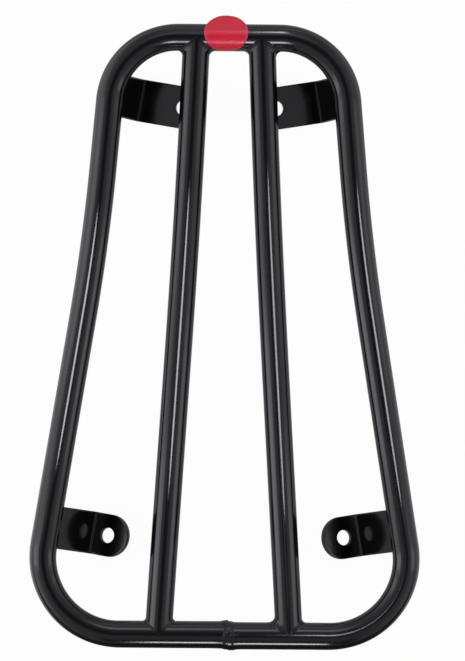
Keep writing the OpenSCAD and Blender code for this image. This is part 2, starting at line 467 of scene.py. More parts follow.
@dataclass
class ShaderGroups:
    """Shader node groups that more than one material uses. Scales are in waves per metre."""

    cloud_scale: float = 38.0
    patch_scale: float = 90.0
    grit_scale: float = 1400.0
    shade: tuple[float, float] = (0.75, 1.3)
    gloss: tuple[float, float] = (-0.03, 0.05)

    def __post_init__(self) -> None:
        """Builds the groups."""
        self.paint_film = self._paint_film()

    def lay_film(self, tree: bpy.types.NodeTree, shader: bpy.types.Node, place: Socket, film: Film) -> Socket:
        """Places the paint film in a material, with its roughness and normal on the shader.

        Args:
            tree: Node tree of the material.
            shader: Its Principled shader.
            place: Object coordinates.
            film: The film's values.

        Returns:
            The film's colour.
        """
        node = tree.nodes.new("ShaderNodeGroup")
        node.node_tree = self.paint_film
        values = (place, (*film.colour, 1), film.roughness, film.peel_size, film.peel_height, film.grit)
        names = ("Place", "Base Colour", "Base Roughness", "Peel Scale", "Peel Height", "Grit")
        fill(tree, node, dict(zip(names, values)))
        fill(tree, shader, {name: node.outputs[name] for name in ("Roughness", "Normal")})
        return node.outputs["Colour"]

    def _paint_film(self) -> bpy.types.NodeTree:
        """Paint film: cloudy colour, uneven gloss, orange peel and coarse grit in one normal.

        Returns:
            The node group, with inputs Place, Base Colour, Base Roughness, Peel Scale, Peel Height and Grit,
            and outputs Colour, Roughness and Normal.
        """
        group = bpy.data.node_groups.new("paint_film", "ShaderNodeTree")
        kinds = {"Place": "Vector", "Base Colour": "Color", "Base Roughness": "Float", "Peel Scale": "Float"}
        for name, kind in (kinds | {"Peel Height": "Float", "Grit": "Float"}).items():
            group.interface.new_socket(name, in_out="INPUT", socket_type=f"NodeSocket{kind}")
        for name, kind in {"Colour": "Color", "Roughness": "Float", "Normal": "Vector"}.items():
            group.interface.new_socket(name, in_out="OUTPUT", socket_type=f"NodeSocket{kind}")
        given, out = group.nodes.new("NodeGroupInput").outputs, group.nodes.new("NodeGroupOutput")

        def noise(scale: float | Socket, detail: float) -> Socket:
            """Noise of a scale on the place."""
            inputs = {"Vector": given["Place"], "Scale": scale, "Detail": detail}
            return add_node(group, "TexNoise", inputs).outputs["Fac"]

        def spread(value: Socket, low: float, high: float) -> Socket:
            """Carries 0..1 to low..high."""
            inputs = {"Value": value, "To Min": low, "To Max": high}
            return add_node(group, "MapRange", inputs).outputs["Result"]

        shade = spread(noise(self.cloud_scale, 3.0), *self.shade)
        tint = add_node(group, "VectorMath", {0: given["Base Colour"], "Scale": shade}, "SCALE")
        gloss = spread(noise(self.patch_scale, 4.0), *self.gloss)
        rough = add_node(group, "Math", {0: gloss, 1: given["Base Roughness"]}, "ADD")
        rough.use_clamp = True
        grit = add_math(group, "MULTIPLY", noise(self.grit_scale, 5.0), given["Grit"])
        height = add_math(group, "ADD", noise(given["Peel Scale"], 2.0), grit)
        bump = add_node(group, "Bump", {"Strength": 1.0, "Distance": given["Peel Height"], "Height": height})
        fill(group, out, {"Colour": tint.outputs["Vector"], "Roughness": rough.outputs["Value"]})
        fill(group, out, {"Normal": bump.outputs["Normal"]})
        return group


@dataclass(frozen=True)
class GlossPaint:
    """Gloss black stove paint over steel: nearly black base, slight orange peel, and grit over the welds."""

    name: str = "gloss_black_paint"
    film: Film = Film((0.0016, 0.0015, 0.0018), 0.125, 420.0, 0.000010)
    tint: Triple = (0.97, 0.93, 1.0)
    ior: float = 1.5

    def build(self, groups: ShaderGroups) -> bpy.types.Material:
        """Builds the node material.

        Args:
            groups: The shared shader groups.

        Returns:
            The material.
        """
        material, tree, shader = new_material(self.name)
        place = add_node(tree, "TexCoord").outputs["Object"]
        colour = groups.lay_film(tree, shader, place, self.film)
        fill(tree, shader, {"Base Color": colour, "IOR": self.ior, "Specular Tint": (*self.tint, 1)})
        return material


PAINT = GlossPaint()
BEAD_PAINT = GlossPaint("gloss_black_bead", Film(PAINT.film.colour, 0.17, 420.0, 0.00004, 0.5))


@dataclass(frozen=True)
class FoilFinish:
    """Red printed foil with a clear glossy film, and a painted sheen that makes it paler towards its left and
    right edges, standing in for reflected light.
    """

    name: str = "red_foil"
    film: Film = Film((0.66, 0.010, 0.042), 0.3, 900.0, 0.00003)
    painted_edge_sheen: Triple = (0.70, 0.050, 0.10)
    painted_sheen_from: float = 0.80
    painted_sheen_to: float = 1.02
    ior: float = 1.48
    specular: float = 0.35
    coat: float = 0.15
    coat_roughness: float = 0.3

    def build(self, groups: ShaderGroups, middle: Triple, radius: float) -> bpy.types.Material:
        """Builds the node material.

        Args:
            groups: The shared shader groups.
            middle: Middle of the badge, in metres.
            radius: Half its width, in metres.

        Returns:
            The material.
        """
        material, tree, shader = new_material(self.name)
        place = add_node(tree, "TexCoord").outputs["Object"]
        colour = groups.lay_film(tree, shader, place, self.film)
        shift, scale = tuple(-c / radius for c in middle), (1 / radius,) * 3
        centred = add_node(tree, "Mapping", {"Vector": place, "Location": shift, "Scale": scale})
        # Painted sheen: the colour is mixed towards a paler red near the badge's left and right edges,
        # standing in for reflections.
        split = add_node(tree, "SeparateXYZ", {"Vector": centred.outputs["Vector"]})
        side = add_math(tree, "ABSOLUTE", split.outputs["X"])
        reach = {"Value": side, "From Min": self.painted_sheen_from, "From Max": self.painted_sheen_to}
        rim = add_node(tree, "MapRange", reach).outputs["Result"]
        mix = add_node(tree, "Mix", {"Factor": rim, "A": colour, "B": (*self.painted_edge_sheen, 1)}, "RGBA")
        fill(tree, shader, {"Base Color": mix.outputs["Result"], "IOR": self.ior})
        fill(tree, shader, {"Specular IOR Level": self.specular})
        fill(tree, shader, {"Coat Weight": self.coat, "Coat Roughness": self.coat_roughness})
        return material


@dataclass(frozen=True)
class Lump:
    """Lump of the closing bead, or a pit where its height is negative, with its place and reach."""

    degrees: float
    along: float
    height: float
    reach: float
    run: float

    def at(self, s: Array, angle: Array) -> Array:
        """Height at places along and angles round the tube: a bell curve in both."""
        around = turn_hump(angle, math.radians(self.degrees), self.reach)
        return self.height * around * hump(s, self.along, self.run)


# Degrees round the tube (0 outside, 90 on top), mm along it, mm high, and reach in radians and in mm.
LUMPS = (
    Lump(176, -0.3, 0.55, 0.28, 1.9),
    Lump(120, 0.6, 0.30, 0.30, 1.6),
    Lump(10, 1.2, 0.20, 0.35, 2.4),
    Lump(108, -1.2, -0.75, 0.085, 0.75),
    Lump(112, 1.3, -0.70, 0.085, 0.75),
    Lump(98, 2.4, -0.50, 0.075, 0.6),
    Lump(95, -0.2, 0.28, 0.10, 0.8),
    Lump(140, 1.9, -0.35, 0.10, 0.7),
)


@dataclass
class Hoop:
    """The bent tube that closes on itself at the rear, with slightly flattened bends and a closing bead."""

    size: RackSizes
    line: HoopLine
    round_count: int = 96
    flatten: float = 0.012
    swell: float = 0.35
    swell_run: float = 5.0
    step_off: float = 0.28
    step_run: float = 45.0
    tick_depth: float = 0.3
    tick_back: float = 9.0
    bead_half: float = 3.9
    bead_rows: int = 61
    bead_count: int = 220
    bead_sink: float = 0.32
    top_room: float = 0.05
    ring_room: float = 0.03

    def radius(self, s: Array, angle: Array) -> Array:
        """Tube radius: the nominal one, less a share that grows with the bend and with cos^2 of the angle
        from the hoop's plane, plus a swelling by the closing joint, less a tick on the front right bend.

        Args:
            s: Distances along the hoop.
            angle: Angles round the tube, 0 on the outside and 90 degrees on top.

        Returns:
            Radii in mm.
        """
        base = self.size.tube_r
        flat = self.flatten * base * self.line.tightness(s) * np.cos(angle) ** 2
        away = np.minimum(s, self.line.total - s)
        more = self.swell * hump(away, 0, self.swell_run) * (0.55 + 0.45 * turn_hump(angle, 0.0, 1.2))
        tick_round = turn_hump(angle, math.radians(140), 0.16)
        tick = self.tick_depth * hump(s, self.line.side_end - self.tick_back, 1.3) * tick_round
        return base - flat + more - tick

    def slip(self, s: Array) -> Array:
        """Shift along Y of the tube's ends, which meet out of line: it falls off as exp(-distance / run)."""
        s = np.mod(s, self.line.total)
        return self.step_off * (np.exp(-(self.line.total - s) / self.step_run) - np.exp(-s / self.step_run))

    def place(self, s: Array, angle: Array, r: Array) -> Array:
        """Points at radius r and an angle round the centre line.

        Args:
            s: Distances along the hoop.
            angle: Angles round the tube.
            r: Distances from the centre line.

        Returns:
            Points in mm.
        """
        point, heading = self.line.at(np.mod(s, self.line.total))
        out = r * np.cos(angle)
        x = point[..., 0] + np.sin(heading) * out
        y = point[..., 1] - np.cos(heading) * out + self.slip(s)
        return np.stack([x, y, self.size.axis_z + r * np.sin(angle)], -1)

    def tube(self) -> bpy.types.Object:
        """Builds the tube: a circle of points carried along the centre line.

        Returns:
            The tube.
        """
        ss, aa = np.meshgrid(self.line.samples(), round_angles(self.round_count), indexing="ij")
        points = self.place(ss, aa, self.radius(ss, aa)).reshape(-1, 3)
        return write_mesh("hoop_tube", points, grid_faces(*ss.shape, wrap_rows=True, wrap_cols=True))

    def closing_bead(self) -> bpy.types.Object:
        """Builds the uneven bead round the closing joint: a low arch with lumps, pits and ripples.

        The height h over the tube is eased to room * tanh(h / room), which keeps it inside the CAD bead also
        where the tube's ends are out of line.

        Returns:
            The bead.
        """
        across = np.linspace(-1, 1, self.bead_rows)
        uu, aa = np.meshgrid(across, round_angles(self.bead_count), indexing="ij")
        half = self.bead_half * (1 + 0.12 * np.sin(2 * aa + 1.0) + 0.07 * np.sin(5 * aa))
        s = uu * half + 0.5 * np.sin(aa + 0.6) + 0.3 * np.sin(3 * aa + 2.0)
        around = aa * self.size.tube_r
        arch = np.maximum(1 - uu**2, 0) ** 0.75
        tall = 0.34 + 0.22 * turn_hump(aa, 0.15, 0.9) + 0.06 * np.sin(4 * aa + 0.5)
        ripple = 0.07 * np.sin(around * 5.2 + 2.5 * uu**2) * arch + 0.06 * weld_noise(around, s, 2.0)
        tall = tall + sum(lump.at(s, aa) for lump in LUMPS) + ripple * (1 - 0.96 * turn_hump(aa, 0.5, 1.1))
        rise = np.minimum(tall * arch, self.size.ring_h - self.top_room) - self.bead_sink * np.abs(uu) ** 6
        height = self.radius(np.mod(s, self.line.total), aa) + rise - self.size.tube_r
        room = self.size.ring_h - self.ring_room + np.minimum(self.slip(s), 0) * np.maximum(np.cos(aa), 0)
        points = self.place(s, aa, self.size.tube_r + room * np.tanh(height / room)).reshape(-1, 3)
        return write_mesh("closing_bead", points, grid_faces(*uu.shape, wrap_cols=True))


@dataclass
class InnerTube:
    """One inner tube with saddle-cut ends."""

    size: RackSizes
    side: Side
    bow: float = 1.1
    slim: float = 0.02
    sink: float = 0.15
    round_count: int = 96
    steps: int = 150

    @property
    def ends(self) -> tuple[Array, Array]:
        """Axis points over the rear and the front rail's axes."""
        x = self.side.value
        return (
            np.array([x * self.size.inner_rear / 2, self.size.rear_y, self.size.axis_z]),
            np.array([x * self.size.inner_front / 2, self.size.front_y, self.size.axis_z]),
        )

    def basis(self) -> tuple[Array, Array]:
        """Unit vectors along the tube to the front and across it to the right."""
        rear, front = self.ends
        along = unit(front - rear)
        return along, np.cross(along, UP)

    def saddle(self, angle: Array, end: End, r: float, sink: float = 0.0) -> Array:
        """Where the tube's generator at an angle meets the rail's surface.

        The rail is the cylinder (y - y0)^2 + (z - z0)^2 = R^2, so the generator ends at
        y = y0 +/- sqrt(R^2 - (r sin angle)^2).

        Args:
            angle: Angles round the tube, 0 on the right and 90 degrees on top.
            end: Which rail.
            r: Radius of the generators.
            sink: How far the end lies inside the rail's surface.

        Returns:
            Points in mm.
        """
        along, across = self.basis()
        rear, _ = self.ends
        start = rear + r * (np.cos(angle)[..., None] * across + np.sin(angle)[..., None] * UP)
        rail = self.size.tube_r - sink
        depth = np.sqrt(np.maximum(rail**2 - (r * np.sin(angle)) ** 2, 0))
        y = self.size.rear_y + depth if end is End.REAR else self.size.front_y - depth
        return start + ((y - start[..., 1]) / along[1])[..., None] * along

    def tube(self) -> bpy.types.Object:
        """Builds the tube: generators between the two saddle curves, bowed towards the rack's middle by the
        sine of pi t^1.5, where t runs from the rear to the front.

        Returns:
            The tube.
        """
        angle = round_angles(self.round_count)
        r = self.size.tube_r - self.slim
        rear = self.saddle(angle, End.REAR, r, self.sink)
        front = self.saddle(angle, End.FRONT, r, self.sink)
        t = np.linspace(0, 1, self.steps)[:, None, None]
        points = rear[None] * (1 - t) + front[None] * t
        points[..., 0] -= self.side.value * self.bow * np.sin(math.pi * t[..., 0] ** 1.5)
        faces = grid_faces(self.steps, self.round_count, wrap_cols=True)[:, ::-1]
        return write_mesh(f"inner_rail_{self.side.word}", points.reshape(-1, 3), faces)


@dataclass
class SaddleBead:
    """Fillet of weld metal all round the joint between an inner tube and a cross rail."""

    tube: InnerTube
    end: End
    right_leg: float = 2.0
    left_leg: float = 2.0
    top_leg: float = 0.75
    sink: float = 0.10
    seed: float = 0.0
    count: int = 240
    rows: int = 15

    def build(self) -> bpy.types.Object:
        """Builds the bead.

        At each point S of the saddle curve, the bead runs from S + a A on the tube to S + a B on the rail, as
        the curve S + a((1 - t)^2 A + t^2 B), where A and B leave the saddle curve at right angles in the two
        surfaces and the leg a shrinks towards the top and the bottom.

        Returns:
            The bead.
        """
        size = self.tube.size
        angle = round_angles(self.count)
        s = self.tube.saddle(angle, self.end, size.tube_r)
        along, across = self.tube.basis()
        n_tube = np.cos(angle)[:, None] * across + np.sin(angle)[:, None] * UP
        rail_y = size.rear_y if self.end is End.REAR else size.front_y
        n_rail = unit((s - np.array([0.0, rail_y, size.axis_z])) * np.array([0.0, 1.0, 1.0]))
        run = unit(np.roll(s, -1, 0) - np.roll(s, 1, 0))
        a_dir = np.cross(n_tube, run)
        a_dir *= np.sign((a_dir * (self.end.value * along)).sum(1))[:, None]
        b_dir = np.cross(run, n_rail)
        away = n_tube - (n_tube * n_rail).sum(1)[:, None] * n_rail
        b_dir *= np.where((b_dir * away).sum(1) < 0, -1, 1)[:, None]
        a_dir, b_dir = unit(a_dir), unit(b_dir)
        side_leg = np.where(np.cos(angle) > 0, self.right_leg, self.left_leg)
        leg = self.top_leg + (side_leg - self.top_leg) * np.abs(np.cos(angle)) ** 1.6
        distance = np.cumsum(np.linalg.norm(np.roll(s, -1, 0) - s, axis=1))
        leg = leg * (1 + 0.07 * np.sin(distance * 1.9 + self.seed) + 0.04 * np.sin(distance * 4.3))
        t = np.linspace(0, 1, self.rows)[:, None, None]
        points = s + leg[:, None] * ((1 - t) ** 2 * a_dir + t**2 * b_dir)
        out = unit(a_dir + b_dir)
        ripple = 0.05 * np.sin(distance * 5.5 + self.seed)
        ripple = ripple + 0.04 * weld_noise(distance, distance * 0.7, self.seed)
        puff = (0.10 + ripple) * np.minimum(leg, 2.0) / 2
        points = points + np.sin(math.pi * t) * puff[:, None] * out
        points = points - self.sink * ((1 - t) ** 3 * n_tube + t**3 * n_rail)
        name = f"saddle_bead_{self.end.word}_{self.tube.side.word}"
        piece = write_mesh(name, points.reshape(-1, 3), grid_faces(self.rows, self.count, wrap_cols=True))
        turn_outwards(piece, np.tile(out, (self.rows - 1, 1)))
        return piece


# Right and left legs of the saddle beads, in mm.
SADDLE_LEGS = {
    (End.REAR, Side.LEFT): (2.3, 2.1),
    (End.REAR, Side.RIGHT): (2.4, 4.2),
    (End.FRONT, Side.LEFT): (3.4, 3.0),
    (End.FRONT, Side.RIGHT): (3.4, 3.0),
}


@dataclass(frozen=True)
class TabShape:
    """Sizes of one kind of tab.

    The fold lies its distance inwards from the rail's axis. The hole's middle and the foot's tip are measured
    along the foot from there, and the foot's rise and the angle at which the wall meets the rail in degrees.
    """

    end: End
    fold: float
    rise: float
    hole: float
    foot: float
    hole_d: float = 9.0
    aim: float = 35.0


@dataclass
class Tab:
    """A bent mounting tab: wall from the side rail down to a fold, and a foot with a hole and a round end."""

    size: RackSizes
    line: HoopLine
    shape: TabShape
    side: Side
    edge_round: float = 0.45
    bead_r: float = 2.15
    bead_short: float = 2.4
    wall_sink: float = 1.2
    wall_reach: tuple[float, float] = (12.0, 42.0)
    across_count: int = 24
    wall_rows: int = 16
    fold_rows: int = 22
    foot_rows: int = 8
    hole_rows: int = 9
    side_count: int = 10
    end_count: int = 48

    def seat(self) -> tuple[Array, float]:
        """Middle of the tab on the right-hand rail's axis, and the rail's lean there, in radians."""
        size = self.size
        if self.shape.end is End.REAR:
            lean = math.radians(size.rear_lean)
            return self.line.rear_tangent + (size.tab_w / 2 + size.rear_tab_room) * axes(lean)[1], lean
        lean = math.radians(size.front_tab_angle)
        return self.line.front_c + size.front_bend_r * axes(lean)[0], lean

    def angles(self) -> tuple[float, float, float]:
        """Lean of the wall, rise of the foot, and half the angle between them, in radians."""
        size, aim = self.size, math.radians(self.shape.aim)
        down = size.tab_drop - size.tab_t - size.tube_r * math.sin(aim)
        wall = math.atan2(down, self.shape.fold - size.tube_r * math.cos(aim))
        rise = math.radians(self.shape.rise)
        return wall, rise, (math.pi - wall - rise) / 2

    def leg(self) -> float:
        """Distance from the corner of the inner faces to the ends of the fold's arc."""
        return self.size.fold_r / math.tan(self.angles()[2])

    def corner(self) -> Array:
        """Corner in which the inner faces of wall and foot would meet, from the rail's axis."""
        size = self.size
        _, rise, half = self.angles()
        drop = size.fold_r / math.sin(half) * math.sin(rise + half)
        return np.array([self.shape.fold, size.fold_r + size.tab_t - size.tab_drop - drop])

    def bend(self, run: Array) -> tuple[Array, Array]:
        """Side view of the inner face: straight wall, arc of the fold's inner radius, straight foot.

        Args:
            run: Distances along the face, measured as if the fold were sharp, negative on the wall.

        Returns:
            Points (distance from the rail's axis, height from it), and the face's normals.
        """
        wall, rise, half = self.angles()
        corner, leg = self.corner(), self.leg()
        up_wall = np.array([-math.cos(wall), math.sin(wall)])
        up_foot, mid = axes(rise)[0], axes(rise + half)[0]
        start = math.atan2(-math.cos(wall), -math.sin(wall))
        turn = math.atan2(-math.cos(rise), math.sin(rise)) - start
        a = start + turn * np.clip((run + leg) / (2 * leg), 0, 1)
        out = np.stack([np.cos(a), np.sin(a)], -1)
        arc = corner + self.size.fold_r / math.sin(half) * mid + self.size.fold_r * out
        on_wall = corner - run[..., None] * up_wall
        on_foot = corner + run[..., None] * up_foot
        flat = np.where((run < -leg)[..., None], on_wall, np.where((run > leg)[..., None], on_foot, arc))
        return flat, -out

    def to_rack(self, run: Array, wide: Array, below: float = 0.0) -> Array:
        """Carries points of the flat blank to their place in the rack.

        Args:
            run: Distances along the blank from the fold.
            wide: Distances across it, positive to the front.
            below: Depth under the inner face.

        Returns:
            Points in mm.
        """
        flat, normal = self.bend(run)
        flat = flat - below * normal
        at, lean = self.seat()
        out, forward = axes(lean)
        plan = at - flat[..., :1] * out + wide[..., None] * forward
        points = np.concatenate([plan, self.size.axis_z + flat[..., 1:]], -1)
        return points * np.array([self.side.value, 1.0, 1.0])

    def depth(self, points: Array) -> Array:
        """How far points lie inside the side rail: its radius less their distance to its centre line.

        Args:
            points: Points in mm.

        Returns:
            Depths, negative outside the rail.
        """
        plan = points[..., :2] * np.array([self.side.value, 1.0])
        s = np.linspace(self.line.side_start - 5, self.line.side_end + 5, 2400)
        centre, _ = self.line.at(s)
        away = np.sqrt(((plan[..., None, :] - centre) ** 2).sum(-1)).min(-1)
        return self.size.tube_r - np.hypot(away, points[..., 2] - self.size.axis_z)

    def wall_top(self, wide: Array, below: float, sink: float) -> Array:
        """Run at which the wall's face lies a given depth inside the rail, for each place across the tab.

        Args:
            wide: Places across the tab.
            below: Depth under the inner face.
            sink: Depth inside the rail.

        Returns:
            Runs, negative on the wall.
        """
        runs = -np.linspace(*self.wall_reach, 160)
        rr, ww = np.meshgrid(runs, wide, indexing="ij")
        inside = self.depth(self.to_rack(rr, ww, below)) > sink
        return runs[inside.argmax(0)]

    def outline(self, start: float, nodes: int) -> tuple[Array, Array]:
        """Edge of the foot, from the start line round the end and back, then along the start line.

        Args:
            start: Run at which the foot's patch starts.
            nodes: Number of points on the start line.

        Returns:
            Runs and places across, in order.
        """
        half, count = self.size.tab_w / 2, self.side_count
        tip = self.shape.foot - half
        side = np.linspace(start, tip, count, endpoint=False)
        turn = np.linspace(-math.pi / 2, math.pi / 2, self.end_count, endpoint=False)
        back = np.linspace(half, -half, nodes)[:-1]
        run = [side, tip + half * np.cos(turn), side[::-1] + (tip - start) / count, np.full(len(back), start)]
        wide = [np.full(count, -half), half * np.sin(turn), np.full(count, half), back]
        return np.concatenate(run), np.concatenate(wide)

    def plate(self) -> bpy.types.Object:
        """Builds the tab: its inner face as a grid and a patch round the hole, thickened, with rounded edges.

        Returns:
            The tab.
        """
        fold = self.leg() + 0.3
        start = max(self.leg() + 0.8, self.shape.hole - 10.0)
        wide = np.linspace(-self.size.tab_w / 2, self.size.tab_w / 2, self.across_count + 1)
        t_wall = np.linspace(0, 1, self.wall_rows, endpoint=False)[:, None]
        wall = self.wall_top(wide, 0.0, self.wall_sink) * (1 - t_wall) - fold * t_wall
        arc = np.linspace(-fold, fold, self.fold_rows, endpoint=False)
        rest = np.concatenate([arc, np.linspace(fold, start, self.foot_rows)])
        run = np.concatenate([wall, np.repeat(rest[:, None], len(wide), 1)])
        sheet = self.to_rack(run, np.repeat(wide[None], len(run), 0))
        edge_run, edge_wide = self.outline(start, len(wide))
        gap = edge_run - self.shape.hole
        far = np.hypot(gap, edge_wide)
        q = np.linspace(0, 1, self.hole_rows)[:, None]
        ring = self.shape.hole_d / 2 * (1 - q) + far * q
        patch = self.to_rack(self.shape.hole + ring * gap / far, ring * edge_wide / far)
        verts = np.concatenate([sheet.reshape(-1, 3), patch.reshape(-1, 3)])
        faces = np.concatenate([grid_faces(*run.shape), grid_faces(*ring.shape, wrap_cols=True) + run.size])
        piece = write_mesh(f"{self.shape.end.word}_tab_{self.side.word}", verts, faces)
        merge_close(piece, 0.02)
        turn_outwards(piece, UP)
        solid = piece.modifiers.new("thickness", "SOLIDIFY")
        solid.thickness = self.size.tab_t * MM
        solid.offset = -1.0
        solid.use_even_offset = True
        bevel = piece.modifiers.new("edges", "BEVEL")
        bevel.width = self.edge_round * MM
        bevel.segments = 3
        bevel.limit_method = "ANGLE"
        bevel.angle_limit = math.radians(50)
        return piece

    def bead(self) -> bpy.types.Object:
        """Builds the bead under the rail: a rippled round ridge on the line where the wall's under face meets
        the rail, closed at both ends by its radius falling to nothing.

        Returns:
            The bead.
        """
        v = np.linspace(-1, 1, 90)
        wide = v * (self.size.tab_w - self.bead_short) / 2
        centre = self.to_rack(self.wall_top(wide, self.size.tab_t, 0.0), wide, self.size.tab_t)
        angle = round_angles(28)
        body = self.bead_r * np.maximum(1 - np.abs(v) ** 7, 0) ** 0.5
        ripple = 1 + 0.055 * np.sin(wide * 4.6) + 0.05 * weld_noise(wide, wide * 0.6, float(self.side.value))
        run = unit(np.gradient(centre, axis=0))
        first = unit(np.cross(run, UP))
        second = np.cross(first, run)
        r = (body * ripple)[:, None] * (1 + 0.04 * np.sin(3 * angle + wide[:, None]))
        ring = np.cos(angle)[:, None] * first[:, None] + np.sin(angle)[:, None] * second[:, None]
        points = (centre[:, None] + r[..., None] * ring).reshape(-1, 3)
        name = f"{self.shape.end.word}_tab_bead_{self.side.word}"
        piece = write_mesh(name, points, grid_faces(*r.shape, wrap_cols=True))
        merge_close(piece, 0.001)
        return piece


REAR_TAB = TabShape(End.REAR, fold=26.0, rise=27.0, hole=9.8, foot=23.6)
FRONT_TAB = TabShape(End.FRONT, fold=16.8, rise=15.0, hole=26.5, foot=40.2)


@dataclass
class Badge:
    """Round foil badge, wrapped over the front rail and standing off straight in front of it."""

    size: RackSizes
    lift: float = 0.04
    thick: float = 0.33
    inset: float = 0.15
    rings: int = 36
    count: int = 128

    @property
    def middle(self) -> Triple:
        """Point near the middle of the badge, in metres."""
        return (self.size.badge_x * MM, (self.size.front_y + 3.0) * MM, (self.size.axis_z + 6.0) * MM)

    def fold_over(self, across: Array, s: Array, high: Array) -> Array:
        """Carries points of the flat disc over the rail: round the tube up to the front angle, then straight.

        Args:
            across: Places to the right of the disc's middle.
            s: Places to the front of it.
            high: Heights over the rail's surface.

        Returns:
            Points in mm.
        """
        size = self.size
        r = size.tube_r + high
        middle = size.badge_arc - size.badge_d / 2
        a = (s - middle) / size.tube_r
        limit = math.radians(size.badge_front)
        turn = np.minimum(a, limit)
        straight = np.maximum(a - limit, 0) * size.tube_r
        y = r * np.sin(turn) + straight * np.cos(turn)
        z = r * np.cos(turn) - straight * np.sin(turn)
        return np.stack([size.badge_x + across, size.front_y + y, size.axis_z + z], -1)

    def build(self) -> bpy.types.Object:
        """Builds the badge: rings of points from its middle to its rim, with a faint wave, above and below.

        Returns:
            The badge.
        """
        q = np.linspace(0, 1, self.rings)[:, None]
        angle = round_angles(self.count)[None]
        rim = 1 + 0.004 * np.sin(3 * angle + 0.4) + 0.003 * np.sin(7 * angle)
        rad = (self.size.badge_d / 2 - self.inset) * np.minimum(q * rim, 1.0)
        x, s = rad * np.cos(angle), rad * np.sin(angle)
        wave = 0.05 * np.sin(0.55 * x + 0.3 * s) * q**2
        top = self.fold_over(x, s, self.lift + self.thick + wave - 0.12 * smooth(0.97, 1.0, q))
        under = self.fold_over(x, s, self.lift + wave * 0.5)
        points = np.concatenate([top, under[::-1]])
        piece = write_mesh("foil_badge", points.reshape(-1, 3), grid_faces(*points.shape[:2], wrap_cols=True))
        merge_close(piece, 0.001)
        return piece


@dataclass(frozen=True)
class Lamp:
    """Lamp that hangs at an angle from the vertical over a point that it faces.

    The angle leans towards +X for a lamp over the lengthwise tubes and towards +Y for one over a cross rail,
    and the whole lamp may be turned about the vertical to follow a leaning tube. A lamp with a narrow spread
    lights only what it faces, as a softbox with a grid does.
    """

    name: str
    aim: Triple
    lean: float
    far: float
    size: tuple[float, float]
    glow: float
    spread: float = 180.0
    along_x: bool = True
    turn: float = 0.0
    oval: bool = False
    colour: Triple = (0.92, 0.965, 1.0)

    def build(self) -> None:
        """Adds the lamp, with the power that makes its face as bright as its glow along its axis."""
        light = bpy.data.lights.new(self.name, "AREA")
        light.shape = "ELLIPSE" if self.oval else "RECTANGLE"
        light.size, light.size_y = self.size
        half = math.radians(self.spread) / 2
        share = 1.0 if self.spread >= 180 else (math.tan(half) - half) / math.tan(half)
        face = self.size[0] * self.size[1] * (math.pi / 4 if self.oval else 1.0)
        light.energy = self.glow * face * math.pi * share
        light.color = self.colour
        light.spread = math.radians(self.spread)
        lean = math.radians(self.lean)
        away, side = Vector((math.sin(lean), 0, math.cos(lean))), Vector((math.cos(lean), 0, -math.sin(lean)))
        if self.along_x:
            away, side = Vector((0, math.sin(lean), math.cos(lean))), Vector((1, 0, 0))
        plan = Matrix.Rotation(math.radians(self.turn), 3, "Z")
        away, side = plan @ away, plan @ side
        lamp = add_object(self.name, light)
        lamp.location = Vector(self.aim) + away * self.far
        lamp.rotation_euler = Matrix((side, away.cross(side), away)).transposed().to_euler()
        lamp.visible_camera = False


def tube_lamp(side: str, x: float, y: float, lean: float, turn: float, length: float, glow: float) -> Lamp:
    """Oval lamp close over a lengthwise tube, whose straight run alone it lights.

    Args:
        side: Start of its name.
        x: X of the point that it faces, in metres.
        y: Y of that point.
        lean: Angle from the vertical towards +X, in degrees.
        turn: Angle of the tube in plan, in degrees.
        length: Its own length, in metres.
        glow: Brightness of its face.

    Returns:
        The lamp.
    """
    return Lamp(f"{side}_line", (x, y, AXIS), lean, FAR, (WIDE, length), glow, SPREAD, False, turn, True)


# Distance, width and spread of the lamps over the lengthwise tubes, and height of the tubes' axes.
FAR, WIDE, SPREAD, AXIS = 0.15, 0.042, 22.0, 0.033
# Points that the lamps face, in metres.
REAR_RAIL = (0.0, -0.177, AXIS)
FRONT_RAIL = (0.0, 0.173, AXIS)
REAR_MIDDLE = (0.0, -0.135, AXIS)
FRONT_MIDDLE = (0.0, 0.160, AXIS)
# Name, point, lean, distance, size, glow and spread, or name, x, y, lean, turn, length and glow.
LAMPS = (
    tube_lamp("left_rail", -0.0850, -0.005, -3.8, -8.8, 0.153, 20.0),
    tube_lamp("left_inner", -0.0275, -0.005, 5.4, -3.4, 0.180, 18.0),
    tube_lamp("right_inner", 0.0275, -0.006, 13.8, 3.4, 0.205, 15.0),
    tube_lamp("right_rail", 0.0850, -0.008, 22.3, 8.8, 0.186, 15.5),
    Lamp("left_rear_box", REAR_MIDDLE, -60.0, 0.9, (0.66, 0.20), 1.5, along_x=False),
    Lamp("right_rear_box", REAR_MIDDLE, 63.0, 0.9, (0.46, 0.20), 1.2, along_x=False),
    Lamp("left_front_box", FRONT_MIDDLE, -58.0, 0.9, (0.56, 0.14), 0.9, along_x=False),
    Lamp("right_front_box", FRONT_MIDDLE, 63.0, 0.9, (0.46, 0.14), 0.6, along_x=False),
    Lamp("front_rail_line", FRONT_RAIL, -41.0, 0.8, (0.11, 0.25), 20.0, 22.0),
    Lamp("front_rail_right_line", (0.034, 0.173, AXIS), 48.0, 0.6, (0.045, 0.16), 22.0, 20.0),
    Lamp("rear_rail_line", REAR_RAIL, -70.0, 0.4, (0.115, 0.10), 24.0, 18.0),
    Lamp("rear_rail_band", REAR_RAIL, 48.0, 0.9, (0.7, 0.26), 1.9, 50.0),
    Lamp("rear_rail_right_line", (0.064, -0.177, AXIS), 8.0, 0.5, (0.044, 0.10), 13.0, 20.0),
)


